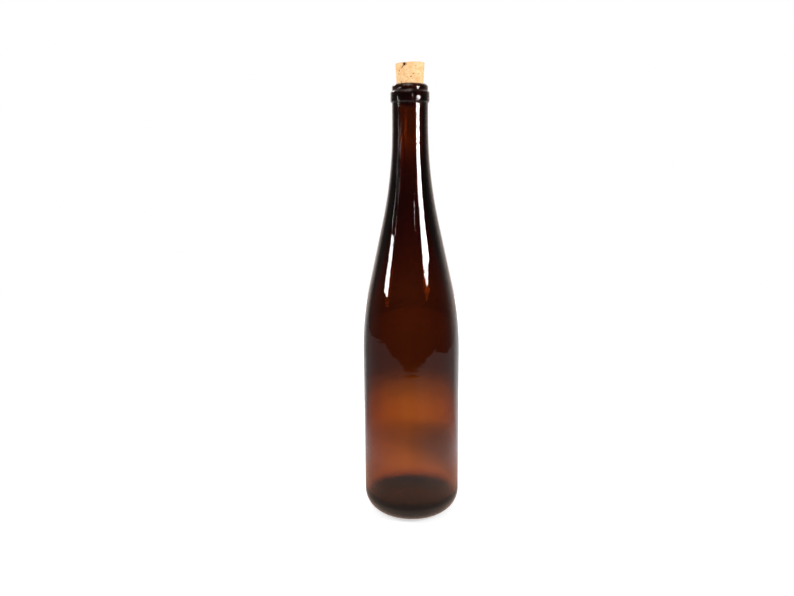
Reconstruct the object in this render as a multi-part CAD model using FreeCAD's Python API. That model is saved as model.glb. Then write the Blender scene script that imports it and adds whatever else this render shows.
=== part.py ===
import FreeCAD, Part
import math
import os

# An empty flute wine bottle of brown glass, with a tapered natural cork pushed part of the
# way into its mouth. Two pieces: the bottle, one hollow blown solid, and the cork.
#
# The origin is on the bottle's axis, in the plane that it stands on, and +Z is up.
# Lengths are in millimetres and angles in degrees.
#
# The bottle is one glass section turned about the axis. The section is a chain of straight
# lines whose corners are rounded by tangent arcs. Its outside and its inside bend at
# different heights and with different radii, so the wall is thin in the body, thick where
# the neck begins, and even again round the bore, as in blown glass.

# Bottle, outside
bottle_height = 338.4
body_diameter = 76.6
neck_diameter = 27.2
neck_bend_below_lip = 66.0      # where the lines of the shoulder and the neck would meet
neck_bend_radius = 342.0
shoulder_rise = 112.0           # from where body and shoulder would meet up to the neck bend
shoulder_bend_radius = 244.0

# Bottle, finish: a plain lip over a groove and a band
lip_diameter = 27.2
lip_height = 4.8                # from the groove up to the lip's top
lip_rounding = 2.7
groove_depth = 0.2
groove_slope_height = 1.8
groove_fillet = 1.0
band_diameter = 29.3
band_height = 8.8
band_top_slope = 1.3            # how far the band's upper edge falls towards the outside
band_foot_slope = 0.9
band_rounding = 1.4
band_foot_fillet = 1.5

# Bottle, foot
heel_radius = 15.8
ring_width = 1.9                # flat ring that the bottle stands on
ring_rounding = 1.5
push_up_height = 5.0
push_up_rounding = 22.0
push_up_slope_width = 9.0       # the slope between the crown and the standing ring

# Bottle, inside
mouth_diameter = 19.0
mouth_rounding = 1.0
bore_foot_diameter = 19.8       # the bore widens a little downwards
bore_bend_drop = 13.0           # the bore opens out this far below the outside's neck bend
bore_bend_radius = 200.0
inner_shoulder_radius = 200.0
shoulder_wall = 3.1             # at the top of the body
heel_wall = 2.9                 # at the foot of the body
base_thickness = 5.6            # over the standing ring and at the push-up's crown
inner_heel_radius = 13.5
floor_crown_shrink = 3.0        # how much smaller the floor's crown is than the push-up's
floor_foot_rounding = 9.0

# Cork
cork_length = 31.0
cork_top_diameter = 21.9
cork_bottom_diameter = 18.0
cork_above_lip = 15.4
cork_edge_rounding = 0.5
cork_top_slant = 2.0            # the top is cut a little off square

# Worked out
body_radius = body_diameter / 2
neck_radius = neck_diameter / 2
neck_bend_height = bottle_height - neck_bend_below_lip
shoulder_bend_height = neck_bend_height - shoulder_rise
ring_inner_radius = body_radius - heel_radius - ring_width
cork_bottom_height = bottle_height + cork_above_lip - cork_length


def corner(radius, height, rounding=0.0):
    """A corner of a section, with the radius of the arc that rounds it."""
    return FreeCAD.Vector(radius, 0, height), rounding


def rounding_arc(before, point, after, radius):
    """The arc that is tangent to both lines at a corner, as its start, middle and end."""
    to_before = (before - point).normalize()
    to_after = (after - point).normalize()
    half_angle = to_before.getAngle(to_after) / 2
    setback = radius / math.tan(half_angle)
    inwards = (to_before + to_after).normalize()
    middle = point + inwards * (radius / math.sin(half_angle) - radius)
    return point + to_before * setback, middle, point + to_after * setback


def turned(corners):
    """The solid swept by a section about the Z axis. Its first and last corners are on it."""
    points = [point for point, rounding in corners]
    edges = []
    last = points[0]
    for i in range(1, len(corners) - 1):
        point, rounding = corners[i]
        if rounding > 0:
            start, middle, end = rounding_arc(points[i - 1], point, points[i + 1], rounding)
            edges.append(Part.LineSegment(last, start).toShape())
            edges.append(Part.Arc(start, middle, end).toShape())
            last = end
        else:
            edges.append(Part.LineSegment(last, point).toShape())
            last = point
    edges.append(Part.LineSegment(last, points[-1]).toShape())
    edges.append(Part.LineSegment(points[-1], points[0]).toShape())
    section = Part.Face(Part.Wire(edges))
    return section.revolve(FreeCAD.Vector(0, 0, 0), FreeCAD.Vector(0, 0, 1), 360)


def foot_corners():
    """The underside: push-up, flat standing ring and round heel."""
    return [
        corner(0, push_up_height),
        corner(ring_inner_radius - push_up_slope_width, push_up_height, push_up_rounding),
        corner(ring_inner_radius, 0, ring_rounding),
        corner(body_radius, 0, heel_radius),
    ]


def side_corners():
    """The long outside: straight body, sloping shoulder and neck."""
    return [
        corner(body_radius, shoulder_bend_height, shoulder_bend_radius),
        corner(neck_radius, neck_bend_height, neck_bend_radius),
    ]


def finish_corners():
    """The band, the groove over it and the lip."""
    band_radius = band_diameter / 2
    lip_radius = lip_diameter / 2
    groove_radius = lip_radius - groove_depth
    groove_height = bottle_height - lip_height
    band_foot_height = groove_height - band_height
    return [
        corner(neck_radius, band_foot_height, band_foot_fillet),
        corner(band_radius, band_foot_height + band_foot_slope, band_rounding),
        corner(band_radius, groove_height - band_top_slope, band_rounding),
        corner(groove_radius, groove_height, groove_fillet),
        corner(lip_radius, groove_height + groove_slope_height, groove_fillet),
        corner(lip_radius, bottle_height, lip_rounding),
    ]


def inside_corners():
    """The inside, from the mouth down the bore and the body to the middle of the floor."""
    floor_crown_radius = ring_inner_radius - push_up_slope_width - floor_crown_shrink
    floor_crown_height = push_up_height + base_thickness
    bore_bend_height = neck_bend_height - bore_bend_drop
    return [
        corner(mouth_diameter / 2, bottle_height, mouth_rounding),
        corner(bore_foot_diameter / 2, bore_bend_height, bore_bend_radius),
        corner(body_radius - shoulder_wall, shoulder_bend_height, inner_shoulder_radius),
        corner(body_radius - heel_wall, base_thickness, inner_heel_radius),
        corner(ring_inner_radius, base_thickness, floor_foot_rounding),
        corner(floor_crown_radius, floor_crown_height, push_up_rounding),
        corner(0, floor_crown_height),
    ]


def make_bottle():
    return turned(foot_corners() + side_corners() + finish_corners() + inside_corners())


def whole_cork():
    """The cork as it is before it goes in: a cone with a top cut a little off square."""
    top_height = bottle_height + cork_above_lip
    top_radius = cork_top_diameter / 2
    slant_rise = top_radius * math.tan(math.radians(cork_top_slant))
    cone = turned([
        corner(0, cork_bottom_height),
        corner(cork_bottom_diameter / 2, cork_bottom_height, cork_edge_rounding),
        corner(top_radius, top_height),
        corner(0, top_height),
    ])
    waste = Part.makeBox(
        cork_top_diameter * 2, cork_top_diameter * 2, cork_length,
        FreeCAD.Vector(-cork_top_diameter, -cork_top_diameter, 0),
    )
    waste.rotate(FreeCAD.Vector(0, 0, 0), FreeCAD.Vector(0, 1, 0), -cork_top_slant)
    waste.translate(FreeCAD.Vector(0, 0, top_height - slant_rise))
    return cone.cut(waste)


def make_cork(bottle):
    """The cork in place. The bore squeezes it, so it gives way wherever the glass is."""
    return whole_cork().cut(bottle)


def only_solid(shape, name):
    """The one solid of a finished piece."""
    solids = shape.Solids
    if len(solids) != 1 or not solids[0].isValid():
        raise ValueError(name + " is not one valid solid")
    return solids[0]


def main():
    os.makedirs("parts", exist_ok=True)
    bottle = make_bottle()
    pieces = {"bottle": bottle, "cork": make_cork(bottle)}
    for name, shape in pieces.items():
        only_solid(shape, name).exportStep("parts/" + name + ".step")


main()
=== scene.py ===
import math

import bpy
import numpy as np
from mathutils import Matrix, Vector, noise


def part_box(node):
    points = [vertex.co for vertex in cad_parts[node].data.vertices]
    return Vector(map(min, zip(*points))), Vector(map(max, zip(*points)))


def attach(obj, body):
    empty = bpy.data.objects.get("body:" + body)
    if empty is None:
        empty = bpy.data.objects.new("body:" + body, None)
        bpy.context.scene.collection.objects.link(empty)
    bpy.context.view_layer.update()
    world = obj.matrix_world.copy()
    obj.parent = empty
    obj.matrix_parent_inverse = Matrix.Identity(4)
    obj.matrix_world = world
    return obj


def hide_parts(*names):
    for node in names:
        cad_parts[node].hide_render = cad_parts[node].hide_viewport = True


# An empty brown glass wine bottle with a cork stopper, on a white photographer's table.
# Both CAD pieces are replaced by finer meshes of the same form: the glass gets the ripples
# of blown glass, and the cork its pores, pits and chipped rim.
# Lengths are in metres. +Z is up, and the camera looks along +Y.

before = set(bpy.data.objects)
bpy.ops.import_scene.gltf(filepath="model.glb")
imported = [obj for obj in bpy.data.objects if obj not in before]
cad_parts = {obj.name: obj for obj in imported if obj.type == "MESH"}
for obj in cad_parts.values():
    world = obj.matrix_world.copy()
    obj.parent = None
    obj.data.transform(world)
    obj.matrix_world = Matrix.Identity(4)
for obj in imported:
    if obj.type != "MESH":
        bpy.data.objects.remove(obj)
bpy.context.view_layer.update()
scene = bpy.context.scene
rng = np.random.default_rng(7)

MM = 0.001

# Camera
CAMERA_DISTANCE = 0.5432
CAMERA_HEIGHT = 0.284
CAMERA_PITCH = math.radians(-11.25)
CAMERA_YAW = math.radians(-1.16)
CAMERA_ROLL = math.radians(-0.48)
CAMERA_LENS = 31.75

# Glass: how much of each colour a metre of it takes away
GLASS_IOR = 1.52
GLASS_TAKES = (400.0, 668.0, 1400.0)

ABSORPTION_HEADROOM = 1.03      # the densest colour still lets a little through
SMUDGE_ROUGHNESS = 0.008
BEAD_SHARE = 0.22
GLASS_BUMP = 0.08 * MM

# Glass mesh
GLASS_SIDES = 160
FINEST_STEP = 0.14 * MM
LONGEST_STEP = 3.0 * MM
STEP_GROWTH = 0.35

# Glass ripples: whole waves round it, how high one wave is, and how far they reach
OUTER_SWELLS = (1, 2, 3, 5), (0.11, 0.045), 0.03 * MM
OUTER_RIPPLES = (1, 3, 4, 7), (0.019, 0.013), 0.015 * MM
OUTER_SINK = 0.05 * MM          # keeps the swells within the CAD outline
INNER_WAVES = (2, 3, 5, 8, 13, 19), (0.9, 0.35), 0.16 * MM
CALM_FOOT = 8 * MM
CALM_BELOW_CORK = 14 * MM
CALM_FADE = 20 * MM


# ---------------------------------------------------------------- node helpers


def add_node(tree, kind, **settings):
    node = tree.nodes.new(kind)
    for name, value in settings.items():
        setattr(node, name, value)
    return node


def feed(tree, socket, value):
    """Links a socket, or sets it to a plain value."""
    if isinstance(value, bpy.types.NodeSocket):
        tree.links.new(value, socket)
    else:
        socket.default_value = value


def calculate(tree, operation, *values):
    node = add_node(tree, "ShaderNodeMath", operation=operation)
    for socket, value in zip(node.inputs, values):
        feed(tree, socket, value)
    return node.outputs[0]


def multiply(tree, first, second):
    return calculate(tree, "MULTIPLY", first, second)


def ramp_between(tree, value, start, end, low=0.0, high=1.0):
    """Goes smoothly from low to high as value goes from start to end."""
    node = add_node(tree, "ShaderNodeMapRange", interpolation_type="SMOOTHSTEP")
    for name, number in (
        ("Value", value), ("From Min", start), ("From Max", end), ("To Min", low), ("To Max", high),
    ):
        feed(tree, node.inputs[name], number)
    return node.outputs["Result"]


def ramp_over_degrees(tree, angle, start, end, low, high):
    """The same for an angle in radians, with its start and end given in degrees."""
    return ramp_between(tree, angle, math.radians(start), math.radians(end), low, high)


def choose(tree, factor, first, second):
    """The first value where factor is 0, and the second where it is 1."""
    node = add_node(tree, "ShaderNodeMix", data_type="FLOAT")
    feed(tree, node.inputs["Factor"], factor)
    feed(tree, node.inputs["A"], first)
    feed(tree, node.inputs["B"], second)
    return node.outputs["Result"]


def by_ray(tree, rays, otherwise, mirrored, through, seen):
    """One value for each kind of ray: mirrored, through the glass, and straight to the camera.

    A ray that goes through glass also counts as glossy, so that the order matters.
    """
    value = choose(tree, rays["Is Glossy Ray"], otherwise, mirrored)
    value = choose(tree, rays["Is Transmission Ray"], value, through)
    return choose(tree, rays["Is Camera Ray"], value, seen)


def blend_colours(tree, factor, first, second):
    node = add_node(tree, "ShaderNodeMix", data_type="RGBA")
    feed(tree, node.inputs["Factor"], factor)
    first_colour, second_colour = node.inputs[6], node.inputs[7]
    feed(tree, first_colour, first)
    feed(tree, second_colour, second)
    return node.outputs[2]


def noise_texture(tree, vector, scale, detail=2.0, roughness=0.5, distortion=0.0):
    node = add_node(tree, "ShaderNodeTexNoise")
    feed(tree, node.inputs["Vector"], vector)
    feed(tree, node.inputs["Scale"], scale)
    feed(tree, node.inputs["Detail"], detail)
    feed(tree, node.inputs["Roughness"], roughness)
    feed(tree, node.inputs["Distortion"], distortion)
    return node.outputs["Fac"]


def stretched(tree, vector, scale):
    node = add_node(tree, "ShaderNodeMapping")
    feed(tree, node.inputs["Vector"], vector)
    node.inputs["Scale"].default_value = scale
    return node.outputs["Vector"]


def add_bump(tree, shader, height, distance):
    bump = add_node(tree, "ShaderNodeBump")
    bump.inputs["Strength"].default_value = 1.0
    bump.inputs["Distance"].default_value = distance
    feed(tree, bump.inputs["Height"], height)
    feed(tree, shader.inputs["Normal"], bump.outputs["Normal"])


def new_material(name):
    material = bpy.data.materials.new(name)
    material.use_nodes = True
    tree = material.node_tree
    return material, tree, tree.nodes["Principled BSDF"]


# ---------------------------------------------------------------- sections of the CAD pieces


ON_PLANE = 1e-6                 # how close to the cutting plane a vertex of the section lies
SAME_PLACE_DIGITS = 7
CURVE_SAMPLES = 24              # points of the smooth curve for each span of the section


def section_of(node):
    """A turned CAD node's outline where it crosses the plane y = 0 on the +X side, end to end."""
    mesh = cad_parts[node].data
    places = {}
    for vertex in mesh.vertices:
        if abs(vertex.co.y) < ON_PLANE and vertex.co.x > -ON_PLANE:
            places[vertex.index] = (
                round(vertex.co.x, SAME_PLACE_DIGITS), round(vertex.co.z, SAME_PLACE_DIGITS)
            )
    neighbours = {}
    for edge in mesh.edges:
        first, second = (places.get(i) for i in edge.vertices)
        if first and second and first != second:
            neighbours.setdefault(first, set()).add(second)
            neighbours.setdefault(second, set()).add(first)
    ends = sorted((p for p in neighbours if len(neighbours[p]) == 1), key=lambda p: p[1])
    chain = [ends[0]]
    while len(neighbours[chain[-1]] - set(chain)) > 0:
        chain.append(min(neighbours[chain[-1]] - set(chain)))
    return np.array(chain)


def smooth_curve(points, per_span):
    """A dense smooth curve (cubic Hermite) through a chain of points."""
    before = np.vstack([2 * points[0] - points[1], points[:-1]])
    after = np.vstack([points[1:], 2 * points[-1] - points[-2]])
    tangents = after - before
    tangents /= np.linalg.norm(tangents, axis=1)[:, None]
    dense = []
    for i in range(len(points) - 1):
        span = np.linalg.norm(points[i + 1] - points[i])
        t = np.linspace(0, 1, per_span, endpoint=False)[:, None]
        dense.append(
            (2 * t**3 - 3 * t**2 + 1) * points[i]
            + (t**3 - 2 * t**2 + t) * span * tangents[i]
            + (3 * t**2 - 2 * t**3) * points[i + 1]
            + (t**3 - t**2) * span * tangents[i + 1]
        )
    return np.vstack(dense + [points[-1:]])


def graded(points):
    """The same curve with close steps in the tight bends that grow along the long stretches."""
    lengths = np.linalg.norm(np.diff(points, axis=0), axis=1)
    at = np.concatenate([[0], np.cumsum(lengths)])
    own = np.minimum(np.append(lengths, np.inf), np.insert(lengths, 0, np.inf))
    own = np.clip(own, FINEST_STEP, LONGEST_STEP)
    curve = smooth_curve(points, CURVE_SAMPLES)
    along = np.concatenate([[0], np.cumsum(np.linalg.norm(np.diff(curve, axis=0), axis=1))])
    step = np.min(own[None, :] + STEP_GROWTH * np.abs(along[:, None] - at[None, :]), axis=1)
    step = np.minimum(step, LONGEST_STEP)
    count = np.concatenate([[0], np.cumsum(np.diff(along) * 2 / (step[1:] + step[:-1]))])
    wanted = np.interp(np.linspace(0, count[-1], int(count[-1]) + 2), count, along)
    return np.column_stack([np.interp(wanted, along, curve[:, k]) for k in (0, 1)])


def build_mesh(name, vertices, faces, material):
    mesh = bpy.data.meshes.new(name)
    mesh.from_pydata([tuple(v) for v in vertices], [], faces)
    mesh.validate()
    mesh.update()
    for polygon in mesh.polygons:
        polygon.use_smooth = True
    piece = bpy.data.objects.new(name, mesh)
    scene.collection.objects.link(piece)
    mesh.materials.append(material)
    return piece


def ring_faces(rings, sides, first_tip, last_tip):
    """Quads between rings of vertices, closed at both ends by a fan round a tip."""
    faces = []
    for i in range(rings - 1):
        for j in range(sides):
            k = (j + 1) % sides
            faces.append((i * sides + j, i * sides + k, (i + 1) * sides + k, (i + 1) * sides + j))
    last = (rings - 1) * sides
    for j in range(sides):
        k = (j + 1) % sides
        faces.append((first_tip, k, j))
        faces.append((last_tip, last + j, last + k))
    return faces


# ---------------------------------------------------------------- glass


def ripples(angle, height, turns, pitches, strength):
    """Gentle waves over a turned surface, with whole waves round it and a drift up it."""
    total = np.zeros(np.broadcast(angle, height).shape)
    for turn in turns:
        for pitch in pitches:
            phase = rng.uniform(0, 2 * math.pi)
            lean = rng.choice((-1, 1))
            wave = np.cos(turn * angle + lean * 2 * math.pi * height / pitch + phase)
            total += wave * rng.uniform(0.4, 1.0) / turn**0.5
    return strength * total / np.abs(total).max()


def make_glass(material):
    section = section_of("bottle")
    outline = np.maximum(graded(section), 0)
    inner_from = int(np.argmax(outline[:, 1]))
    radius, height = outline[:, 0], outline[:, 1]
    angle = np.arange(GLASS_SIDES) * 2 * math.pi / GLASS_SIDES
    turned_angle, at_height = angle[None, :], height[:, None]

    outer = ripples(turned_angle, at_height, *OUTER_SWELLS)
    outer += ripples(turned_angle, at_height, *OUTER_RIPPLES)
    outer -= OUTER_SINK
    inner = ripples(turned_angle, at_height, *INNER_WAVES)
    is_inner = (np.arange(len(radius)) >= inner_from)[:, None]
    steep = np.abs(np.gradient(height)) / np.hypot(np.gradient(radius), np.gradient(height))
    clear_of_foot = np.clip((height - CALM_FOOT) / CALM_FADE, 0, 1)[:, None]
    below_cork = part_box("cork")[0].z - CALM_BELOW_CORK
    clear_of_cork = np.clip((below_cork - height) / CALM_FADE + 0.5, 0, 1)[:, None]
    moved = np.where(is_inner, inner * clear_of_foot * clear_of_cork, outer)
    moved = moved * np.clip(steep[:, None] * 1.5 - 0.5, 0, 1)    # none on level stretches
    rings = radius[:, None] + moved

    points = np.stack(
        [rings * np.cos(turned_angle), rings * np.sin(turned_angle), height[:, None] + 0 * rings],
        axis=2,
    ).reshape(-1, 3)
    tips = np.array([[0, 0, height[0]], [0, 0, height[-1]]])
    count = len(points)
    faces = ring_faces(len(radius), GLASS_SIDES, count, count + 1)
    return build_mesh("glass_bottle", np.vstack([points, tips]), faces, material)


def glass_material():
    material, tree, shader = new_material("brown_glass")
    place = add_node(tree, "ShaderNodeTexCoord").outputs["Object"]
    shader.inputs["Base Color"].default_value = (1, 1, 1, 1)
    shader.inputs["Transmission Weight"].default_value = 1.0
    shader.inputs["IOR"].default_value = GLASS_IOR

    smudges = noise_texture(tree, stretched(tree, place, (60, 60, 25)), 1.0, 4.0, 0.6)
    roughness = ramp_between(tree, smudges, 0.5, 0.75, 0.0, SMUDGE_ROUGHNESS)
    feed(tree, shader.inputs["Roughness"], roughness)

    swirls = noise_texture(tree, stretched(tree, place, (70, 70, 130)), 1.0, 1.0, 0.4, 0.3)
    beads = noise_texture(tree, stretched(tree, place, (90, 90, 420)), 1.0, 1.0, 0.4)
    relief = calculate(tree, "ADD", swirls, multiply(tree, beads, BEAD_SHARE))
    add_bump(tree, shader, relief, GLASS_BUMP)

    absorption = add_node(tree, "ShaderNodeVolumeAbsorption")
    density = max(GLASS_TAKES) * ABSORPTION_HEADROOM
    absorption.inputs["Density"].default_value = density
    absorption.inputs["Color"].default_value = (*(1 - take / density for take in GLASS_TAKES), 1)
    output = tree.nodes["Material Output"]
    tree.links.new(absorption.outputs["Volume"], output.inputs["Volume"])
    return material


# ---------------------------------------------------------------- cork

CORK_SIDES = 320
CORK_STEP = 0.2 * MM            # between rings where the cork is in the open
CORK_STEP_BELOW = 0.5 * MM      # and where it is in the bottle
CORK_TOP_RINGS = 46
CORK_SIDE_RINGS = 12            # between the last level ring and the slanted rim
CORK_SLANT = math.radians(2.0)
CORK_TOP_WORN = 0.2 * MM
CORK_UNDER_LIP = 1.5 * MM       # the fine rings start this far down in the mouth
CORK_LEVEL_TO = 1 * MM          # and stay level up to this far below the rim
CORK_FOOT = 0.5 * MM
CORK_REACH = 0.05 * MM          # how far it presses into the glass that squeezes it
CONTACT_BELOW_LIP = 9 * MM      # where the squeezed stretch is looked for
CONTACT_STOPS = 0.7 * MM        # it stops this far below the lip
SHOWS_WITHIN = 0.6 * MM         # over which the wear grows above the lip
CORK_NARROWS = 0.09             # share of its radius that it loses from the rim to the lip
SMALL_PITS = 110
LONG_PITS = 16
PIT_ROWS = 70                   # how many rings below the rim still get pits
RIM_WEAR = 0.28 * MM
RIM_WEAR_WIDTH = 0.9 * MM
RIM_RINGS = 40                  # how many rings from the rim its wear can reach

# Cork relief: how fine each noise is, a metre's worth, where it starts, and how deep it goes
LUMP_SCALE, LUMP_DEPTH = 260, 0.045
CRUMB_SCALE, CRUMB_START, CRUMB_DEPTH = 1300, Vector((7, 3, 5)), 0.07
GRAIN_SCALE, GRAIN_START, GRAIN_DEPTH = 3000, Vector((1, 9, 2)), 0.04

# The marks that can be told apart on the cork: where round it from the camera's side, in
# degrees, and how far under the rim, how large and how deep, in millimetres
CORK_MARKS = (
    ("hole in the rim", -24, 1.2, 1.50, 1.9),
    ("crack under the hole", -28, 2.3, 0.70, 0.7),
    ("crack, middle", -32, 3.2, 0.60, 0.5),
    ("crack, foot", -36, 3.9, 0.45, 0.4),
    ("left speck", -50, 5.6, 0.70, 0.5),
    ("lower left speck", -55, 7.8, 0.60, 0.4),
    ("middle pit", 5, 10.3, 0.70, 0.5),
    ("pit beside it", 13, 8.3, 0.50, 0.4),
    ("right pit", 41, 8.4, 0.60, 0.3),
    ("low left pit", -40, 13.6, 0.60, 0.4),
)


def cork_surface(section, low, high):
    """The plain cork as rings of points, with the way out of the surface at each point."""
    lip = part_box("bottle")[1].z
    angle = np.arange(CORK_SIDES) * 2 * math.pi / CORK_SIDES
    across = np.cos(angle)
    top = high.z - CORK_TOP_WORN - (high.x - high.x * across) * math.tan(CORK_SLANT)
    below = np.arange(low.z + CORK_FOOT, lip - CORK_UNDER_LIP, CORK_STEP_BELOW)
    above = np.arange(lip - CORK_UNDER_LIP, top.min() - CORK_LEVEL_TO, CORK_STEP)
    fixed = np.concatenate([low.z + np.linspace(0, 0.45, 6) * MM, below, above])
    rows = [np.full(CORK_SIDES, z) for z in fixed]
    for share in np.linspace(0, 1, CORK_SIDE_RINGS)[1:]:
        rows.append(fixed[-1] + (top - fixed[-1]) * share)
    points, ways = [], []
    out = np.stack([np.cos(angle), np.sin(angle), 0 * angle], axis=1)
    for z in rows:
        r = np.interp(z, section[:, 1], section[:, 0])
        points.append(np.stack([r * out[:, 0], r * out[:, 1], z], axis=1))
        ways.append(out)
    edge = np.hypot(points[-1][:, 0], points[-1][:, 1])
    for share in 1 - np.linspace(0, 1, CORK_TOP_RINGS + 1)[1:-1] ** 1.3:
        r = edge * share
        z = high.z - CORK_TOP_WORN - (high.x - r * across) * math.tan(CORK_SLANT)
        points.append(np.stack([r * out[:, 0], r * out[:, 1], z], axis=1))
        ways.append(np.tile([0.0, 0.0, 1.0], (CORK_SIDES, 1)))
    rim = len(rows) - 1
    ways[rim] = out * 0.7 + [0, 0, 0.7]
    return np.array(points), np.array(ways), rim, lip


def cork_pits(points, rim, lip):
    """Centres, sizes and depths of the cork's pits, each with the way that it is drawn out."""
    rim_points = points[rim]
    pits = []
    for _, turn, drop, size, depth in CORK_MARKS:
        x, y, z = rim_points[int(round((turn - 90) / 360 * CORK_SIDES)) % CORK_SIDES]
        narrower = 1 - drop * MM / (z - lip) * CORK_NARROWS
        centre = np.array([x * narrower, y * narrower, z - drop * MM])
        pits.append((centre, size * MM, depth * MM, (0, 0, 1), 1.0))
    for i in range(SMALL_PITS + LONG_PITS):
        is_long = i >= SMALL_PITS
        row = rng.integers(rim - PIT_ROWS, len(points) - 3)
        column = rng.integers(0, CORK_SIDES)
        centre = points[row, column]
        if is_long:
            size, depth = rng.uniform(0.22, 0.4), rng.uniform(0.15, 0.35)
            stretch = rng.uniform(2, 4)
        else:
            size, depth, stretch = rng.uniform(0.15, 0.42), rng.uniform(0.06, 0.24), 1.0
        lean = rng.uniform(-0.5, 0.5)
        along = (-centre[1], centre[0], lean * np.hypot(centre[0], centre[1]))
        pits.append((centre, size * MM, depth * MM, along, stretch))
    return pits


def make_cork(material):
    section = section_of("cork")
    section = section[np.argsort(section[:, 1])]
    low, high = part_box("cork")
    points, ways, rim, lip = cork_surface(section, low, high)

    flat = points.reshape(-1, 3)
    lumps = np.array([noise.noise(Vector(p) * LUMP_SCALE) for p in flat])
    crumbs = np.array([noise.noise(Vector(p) * CRUMB_SCALE + CRUMB_START) for p in flat])
    grain = np.array([noise.noise(Vector(p) * GRAIN_SCALE + GRAIN_START) for p in flat])
    depth = (
        LUMP_DEPTH * (1 + lumps)
        + CRUMB_DEPTH * np.clip(crumbs, 0, 1)
        + GRAIN_DEPTH * np.clip(grain, 0, 1)
    ) * MM

    # The rim is chipped, most at its very edge
    to_rim = np.abs(np.arange(len(points)) - rim)[:, None] + 0 * points[:, :, 0]
    spacing = np.linalg.norm(points - points[rim][None], axis=2)
    worn = np.clip(1 - spacing / RIM_WEAR_WIDTH, 0, 1) ** 2 * (to_rim < RIM_RINGS)
    chips = (0.55 + 0.45 * lumps + 0.5 * crumbs).reshape(worn.shape)
    depth = depth + (RIM_WEAR * worn * np.clip(chips, 0.15, 1.3)).ravel()

    # Each pit is a round hollow, drawn out along its own way, and darkened the more the deeper it
    # is: the dark of the cork's pores plus painted shade in the hollow
    darkness = np.clip(crumbs * 0.25, 0, 1) + np.clip(grain * 0.2, 0, 1)
    for centre, size, deep, along, stretch in cork_pits(points, rim, lip):
        offset = flat - centre
        direction = np.array(along) / np.linalg.norm(along)
        lengthwise = offset @ direction
        sideways = np.linalg.norm(offset - lengthwise[:, None] * direction, axis=1)
        away = np.hypot(lengthwise / stretch, sideways) / size
        hollow = np.clip(1 - away**2, 0, 1) ** 1.2
        depth = np.maximum(depth, 0.05 * MM + deep * hollow)
        darkness = np.maximum(darkness, hollow * min(1.0, 0.35 + deep / (0.5 * MM)))

    # It is worn above the lip only, and reaches into the glass where the bore squeezes it
    z = flat[:, 2]
    in_the_open = np.clip((z - lip) / SHOWS_WITHIN, 0, 1)
    squeezed_from = section[:, 1][np.isclose(section[:, 1], lip, atol=CONTACT_BELOW_LIP)].min()
    pressed = np.clip((z - squeezed_from) / MM, 0, 1)
    pressed = pressed * np.clip((lip - CONTACT_STOPS - z) / MM, 0, 1)
    moved = -depth * in_the_open + CORK_REACH * pressed * (to_rim.ravel() > RIM_RINGS)
    flat = flat + ways.reshape(-1, 3) * moved[:, None]

    last = flat.reshape(points.shape)[-1]
    tips = np.array([[0, 0, low.z], [0, 0, last[:, 2].mean()]])
    faces = ring_faces(len(points), CORK_SIDES, len(flat), len(flat) + 1)
    cork = build_mesh("cork_stopper", np.vstack([flat, tips]), faces, material)
    pit = cork.data.attributes.new("pit", "FLOAT", "POINT")
    pit.data.foreach_set("value", np.append(darkness, [0.0, 0.0]))
    return cork


PALE_CORK = (0.95, 0.63, 0.335, 1)
PLAIN_CORK = (0.80, 0.455, 0.19, 1)
FLECK = (0.42, 0.20, 0.07, 1)
# Pit colours: the dark of the cork's pores, with painted shade that goes near black in the deepest
# hollows
PIT_COLOUR_AND_SHADE = (0.16, 0.065, 0.025, 1)
DEEP_PIT_SHADE = (0.03, 0.012, 0.006, 1)
CORK_ROUGHNESS = 0.85
CORK_SPECULAR = 0.3
CORK_BUMP = 0.12 * MM


def cork_material():
    material, tree, shader = new_material("cork")
    place = add_node(tree, "ShaderNodeTexCoord").outputs["Object"]
    mottle = noise_texture(tree, stretched(tree, place, (260, 260, 340)), 1.0, 5.0, 0.65)
    mottled = ramp_between(tree, mottle, 0.34, 0.66)
    colour = blend_colours(tree, mottled, PLAIN_CORK, PALE_CORK)
    cells = add_node(tree, "ShaderNodeTexVoronoi", feature="F1")
    feed(tree, cells.inputs["Vector"], stretched(tree, place, (900, 900, 1100)))
    cells.inputs["Scale"].default_value = 1.0
    flecks = ramp_between(tree, cells.outputs["Distance"], 0.10, 0.32, 0.55, 0.0)
    some = noise_texture(tree, stretched(tree, place, (500, 500, 500)), 1.0, 2.0, 0.5)
    flecks = multiply(tree, flecks, ramp_between(tree, some, 0.5, 0.62))
    colour = blend_colours(tree, flecks, colour, FLECK)
    pit = add_node(tree, "ShaderNodeAttribute", attribute_name="pit").outputs["Fac"]
    # The pits get the pores' own dark plus painted shade, near black where they are deepest
    colour = blend_colours(tree, ramp_between(tree, pit, 0.12, 0.75), colour, PIT_COLOUR_AND_SHADE)
    colour = blend_colours(tree, ramp_between(tree, pit, 0.7, 1.0), colour, DEEP_PIT_SHADE)
    feed(tree, shader.inputs["Base Color"], colour)
    shader.inputs["Roughness"].default_value = CORK_ROUGHNESS
    shader.inputs["Specular IOR Level"].default_value = CORK_SPECULAR

    grains = noise_texture(tree, stretched(tree, place, (2600, 2600, 2600)), 1.0, 3.0, 0.6)
    add_bump(tree, shader, grains, CORK_BUMP)
    return material


# ---------------------------------------------------------------- studio

# Each range is where it starts, where it ends, and the values there. In the world they start
# and end at degrees up or round from the far side, and on the floor at metres from the axis.

FLOOR_FRONT = 0.435
FLOOR_BACK = 0.90
FLOOR_LEFT = 0.90
FLOOR_RIGHT = 0.60
FLOOR_PALE = 0.8
FLOOR_ROUGHNESS = 0.9

WHITE_LIGHT = (1, 1, 1, 1)
FAR_LIGHT = (1, 0.62, 0.5, 1)
MIRRORED_LIGHT = (1, 0.86, 0.79, 1)
BESIDE_LIGHT = (1, 0.74, 0.62, 1)

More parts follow.
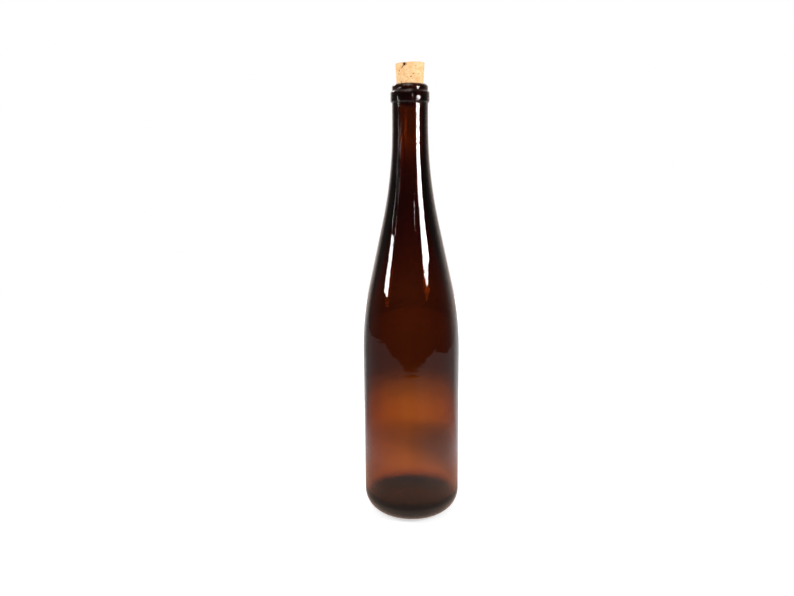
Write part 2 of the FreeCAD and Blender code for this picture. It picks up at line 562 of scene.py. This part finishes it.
THROUGH_RISE = (-12, -2, 0.38, 1.3)
THROUGH_FALL = (-1, 2, 1.0, 0.62)
THROUGH_SIDES = (14, 50, 1.0, 0.12)
THROUGH_LOW_DOWN = (-11.5, -6, 1.0, 0.0)
MIRRORED_FROM = 30
MIRRORED_TO = (60, 80)          # on the left, and on the right
MIRRORED_SIDES = (1.0, 0.12)
MIRRORED_FRONT = (70, 110, 1.0, 0.4)
CEILING_MIDDLE = -25            # degrees round from the camera's side
CEILING_RISE = (32, 40, 0.0, 2.7)
CEILING_SIDES = (38, 50, 1.0, 0.04)
PLAIN_LIGHT = 0.5
MIDDLE_BLEND = (-10, 10)        # over which the left side's value turns into the right's

# Painted light on the floor as seen through the glass: a painted shadow under the bottle and a
# painted pool of light round it
FLOOR_SHADE_UNDER = (0.044, 0.060, 0.0, 1.0)
FLOOR_LIGHT_POOL = (0.20, 0.405, 3.65, 0.5)
FLOOR_FAR = (0.45, 0.75, 1.0, 1.22)
# Painted light on the floor as the glass mirrors it: brighter near the bottle, painted shade at its
# foot, lighter to the right
FLOOR_NEAR = (0.13, 0.27, 0.65, 0.27)
FLOOR_SHADE_AT_FOOT = (0.065, 0.09, 0.7, 1.0)
FLOOR_CONTACT = (0.045, 0.058, 0.3, 0.0)
FLOOR_LIT_TO_RIGHT = (0.0, 0.12, 1.0, 1.4)
FLOOR_GLOW = (0.10, 0.32, 0.6, 1.0)
FLOOR_WARM = (0.30, 0.42, 0.0, 1.0)
FLOOR_BESIDE = (0.09, 0.15, 1.0, 0.0)
BEHIND_LEFT = (28, 56, 1.0, 0.3)
BEHIND_RIGHT = (40, 78, 1.0, 0.18)
BEHIND_GONE = (75, 95, 1.0, 0.0)

# Soft shadows on the floor as seen through the glass: centre, half widths, and how dark
FLOOR_SHADOWS = (
    ((-0.010, 0.155, 0), (0.060, 0.050, 1), 0.38),
    ((0.048, 0.130, 0), (0.055, 0.070, 1), 0.70),
)
SHADOW_EDGE = (0.2, 1.3)        # from the centre, in half widths


def make_world():
    world = bpy.data.worlds.new("studio")
    scene.world = world
    world.use_nodes = True
    tree = world.node_tree
    tree.nodes.clear()
    rays = add_node(tree, "ShaderNodeLightPath").outputs
    way = add_node(tree, "ShaderNodeTexCoord").outputs["Generated"]
    split = add_node(tree, "ShaderNodeSeparateXYZ")
    feed(tree, split.inputs[0], way)
    x, y, z = split.outputs
    elevation = calculate(tree, "ARCSINE", z)
    turn = calculate(tree, "ARCTAN2", x, y)
    sideways = calculate(tree, "ABSOLUTE", turn)
    from_front = calculate(tree, "ARCTAN2", x, multiply(tree, y, -1.0))

    # What shines through the glass: a white backdrop that darkens downwards and to the sides
    through = ramp_over_degrees(tree, elevation, *THROUGH_RISE)
    through = multiply(tree, through, ramp_over_degrees(tree, elevation, *THROUGH_FALL))
    through = multiply(tree, through, ramp_over_degrees(tree, sideways, *THROUGH_SIDES))

    # What the glass mirrors: the same backdrop at the far side, a dark room in front and a
    # pale ceiling
    backdrop_to = (math.radians(side) for side in MIRRORED_TO)
    backdrop_end = ramp_over_degrees(tree, turn, *MIDDLE_BLEND, *backdrop_to)
    mirrored = ramp_between(
        tree, sideways, math.radians(MIRRORED_FROM), backdrop_end, *MIRRORED_SIDES
    )
    mirrored = multiply(tree, mirrored, ramp_over_degrees(tree, sideways, *MIRRORED_FRONT))
    off_ceiling = calculate(tree, "ADD", from_front, math.radians(-CEILING_MIDDLE))
    off_ceiling = calculate(tree, "ABSOLUTE", off_ceiling)
    ceiling = ramp_over_degrees(tree, elevation, *CEILING_RISE)
    ceiling = multiply(tree, ceiling, ramp_over_degrees(tree, off_ceiling, *CEILING_SIDES))
    mirrored = calculate(tree, "ADD", mirrored, ceiling)

    strength = by_ray(tree, rays, PLAIN_LIGHT, mirrored, through, 1.0)
    background = add_node(tree, "ShaderNodeBackground")
    low_down = ramp_over_degrees(tree, elevation, *THROUGH_LOW_DOWN)
    low_down = multiply(tree, low_down, rays["Is Transmission Ray"])
    light = blend_colours(tree, rays["Is Glossy Ray"], WHITE_LIGHT, MIRRORED_LIGHT)
    light = blend_colours(tree, rays["Is Transmission Ray"], light, WHITE_LIGHT)
    light = blend_colours(tree, low_down, light, FAR_LIGHT)
    feed(tree, background.inputs["Color"], light)
    feed(tree, background.inputs["Strength"], strength)
    output = add_node(tree, "ShaderNodeOutputWorld")
    tree.links.new(background.outputs[0], output.inputs["Surface"])


def floor_material():
    material, tree, shader = new_material("white_table")
    rays = add_node(tree, "ShaderNodeLightPath").outputs
    place = add_node(tree, "ShaderNodeTexCoord").outputs["Object"]
    distance = add_node(tree, "ShaderNodeVectorMath", operation="LENGTH")
    feed(tree, distance.inputs[0], place)
    distance = distance.outputs["Value"]
    split = add_node(tree, "ShaderNodeSeparateXYZ")
    feed(tree, split.inputs[0], place)
    x, y = split.outputs[:2]

    # What the glass mirrors and lets through is only what is set below
    pale = by_ray(tree, rays, FLOOR_PALE, 0.0, 0.0, FLOOR_PALE)
    white = add_node(tree, "ShaderNodeCombineColor")
    for socket in white.inputs[:3]:
        feed(tree, socket, pale)
    feed(tree, shader.inputs["Base Color"], white.outputs[0])
    shader.inputs["Roughness"].default_value = FLOOR_ROUGHNESS
    shader.inputs["Specular IOR Level"].default_value = 0.0

    # Seen through the glass: a painted shadow under the bottle, a painted pool of light round it,
    # and dim far away
    through = ramp_between(tree, distance, *FLOOR_SHADE_UNDER)
    through = multiply(tree, through, ramp_between(tree, distance, *FLOOR_LIGHT_POOL))
    through = multiply(tree, through, ramp_between(tree, distance, *FLOOR_FAR))
    for centre, reach, share in FLOOR_SHADOWS:
        offset = add_node(tree, "ShaderNodeVectorMath", operation="SUBTRACT")
        feed(tree, offset.inputs[0], place)
        offset.inputs[1].default_value = centre
        shrunk = add_node(tree, "ShaderNodeVectorMath", operation="DIVIDE")
        feed(tree, shrunk.inputs[0], offset.outputs[0])
        shrunk.inputs[1].default_value = reach
        off = add_node(tree, "ShaderNodeVectorMath", operation="LENGTH")
        feed(tree, off.inputs[0], shrunk.outputs[0])
        shadow = ramp_between(tree, off.outputs["Value"], *SHADOW_EDGE, 1 - share, 1.0)
        through = multiply(tree, through, shadow)

    # Mirrored: painted light, bright near the bottle in front with painted shade at its foot and
    # more light right where it stands, lighter towards the right, and reaching all the way to the
    # backdrop behind
    near = ramp_between(tree, distance, *FLOOR_NEAR)
    near = multiply(tree, near, ramp_between(tree, distance, *FLOOR_SHADE_AT_FOOT))
    near = calculate(tree, "ADD", near, ramp_between(tree, distance, *FLOOR_CONTACT))
    near = multiply(tree, near, ramp_between(tree, x, *FLOOR_LIT_TO_RIGHT))
    turn = calculate(tree, "ARCTAN2", x, y)
    sideways = calculate(tree, "ABSOLUTE", turn)
    to_right = ramp_over_degrees(tree, turn, *MIDDLE_BLEND, 0.0, 1.0)
    behind_left = ramp_over_degrees(tree, sideways, *BEHIND_LEFT)
    behind_right = ramp_over_degrees(tree, sideways, *BEHIND_RIGHT)
    behind = choose(tree, to_right, behind_left, behind_right)
    behind = multiply(tree, behind, ramp_over_degrees(tree, sideways, *BEHIND_GONE))
    mirrored = calculate(tree, "MAXIMUM", near, behind)

    glow = by_ray(tree, rays, 0.0, mirrored, through, ramp_between(tree, distance, *FLOOR_GLOW))
    warm = ramp_between(tree, distance, *FLOOR_WARM)
    warm = multiply(tree, warm, rays["Is Transmission Ray"])
    beside = ramp_between(tree, distance, *FLOOR_BESIDE)
    beside = multiply(tree, beside, rays["Is Glossy Ray"])
    light = blend_colours(tree, beside, WHITE_LIGHT, BESIDE_LIGHT)
    light = blend_colours(tree, rays["Is Transmission Ray"], light, WHITE_LIGHT)
    light = blend_colours(tree, warm, light, FAR_LIGHT)
    light = blend_colours(tree, rays["Is Camera Ray"], light, WHITE_LIGHT)
    feed(tree, shader.inputs["Emission Color"], light)
    feed(tree, shader.inputs["Emission Strength"], glow)
    return material


def make_floor():
    corners = [
        (-FLOOR_LEFT, -FLOOR_FRONT, 0), (FLOOR_RIGHT, -FLOOR_FRONT, 0),
        (FLOOR_RIGHT, FLOOR_BACK, 0), (-FLOOR_LEFT, FLOOR_BACK, 0),
    ]
    floor = build_mesh("floor", corners, [(0, 1, 2, 3)], floor_material())


BRIGHT = 24                     # radiance of the lamps that the glass mirrors as plain white
SENSOR_WIDTH = 36


def softbox(name, azimuth, distance, low, high, width, radiance, lean=0.0):
    """A flat lamp that faces the bottle's axis.

    Azimuth is in degrees from the camera's side to its right, and lean turns the lamp's
    lower edge down towards its right end, as seen from the bottle.
    """
    lamp = bpy.data.lights.new(name, "AREA")
    lamp.shape = "RECTANGLE"
    lamp.size = width
    lamp.size_y = high - low
    lamp.energy = radiance * math.pi * lamp.size * lamp.size_y
    holder = bpy.data.objects.new(name, lamp)
    scene.collection.objects.link(holder)
    a = math.radians(azimuth)
    place = Vector((distance * math.sin(a), -distance * math.cos(a), (low + high) / 2))
    facing = Vector((-math.sin(a), math.cos(a), 0)).to_track_quat("-Z", "Y").to_matrix().to_4x4()
    turned = facing @ Matrix.Rotation(math.radians(lean), 4, "Z")
    holder.matrix_world = Matrix.Translation(place) @ turned
    holder.visible_camera = False
    return holder


def make_lights():
    softbox("key_softbox", 49.5, 0.40, 0.297, 0.360, 0.157, BRIGHT)
    softbox("key_softbox_corner", 50.0, 0.40, 0.284, 0.344, 0.12, BRIGHT, lean=16)
    softbox("side_lamp", -68.5, 0.35, 0.226, 0.307, 0.082, BRIGHT)
    softbox("side_strip_left", -79, 0.35, 0.307, 0.350, 0.008, 9)
    softbox("side_strip_right", -60, 0.35, 0.307, 0.330, 0.008, 6)
    softbox("side_strip_top", -78, 0.35, 0.346, 0.356, 0.022, BRIGHT)
    softbox("high_lamp", -143, 0.43, 0.54, 0.61, 0.07, BRIGHT)
    fill = softbox("fill_lamp", -80, 0.50, 0.30, 0.60, 0.30, 3)
    fill.visible_glossy = False
    fill.visible_transmission = False
    softbox("middle_strip", 17, 0.40, 0.356, 0.366, 0.010, 14)


def make_camera():
    camera = bpy.data.cameras.new("camera")
    camera.lens = CAMERA_LENS
    camera.sensor_width = SENSOR_WIDTH
    holder = bpy.data.objects.new("camera", camera)
    scene.collection.objects.link(holder)
    turn = (
        Matrix.Rotation(-CAMERA_YAW, 4, "Z")
        @ Matrix.Rotation(math.pi / 2 + CAMERA_PITCH, 4, "X")
        @ Matrix.Rotation(CAMERA_ROLL, 4, "Z")
    )
    holder.matrix_world = Matrix.Translation((0, -CAMERA_DISTANCE, CAMERA_HEIGHT)) @ turn
    scene.camera = holder


scene.view_settings.view_transform = "Standard"
make_world()
make_floor()
make_lights()
make_camera()

glass = make_glass(glass_material())
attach(glass, "root")
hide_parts("bottle")

cork = make_cork(cork_material())
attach(cork, "root")
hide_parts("cork")
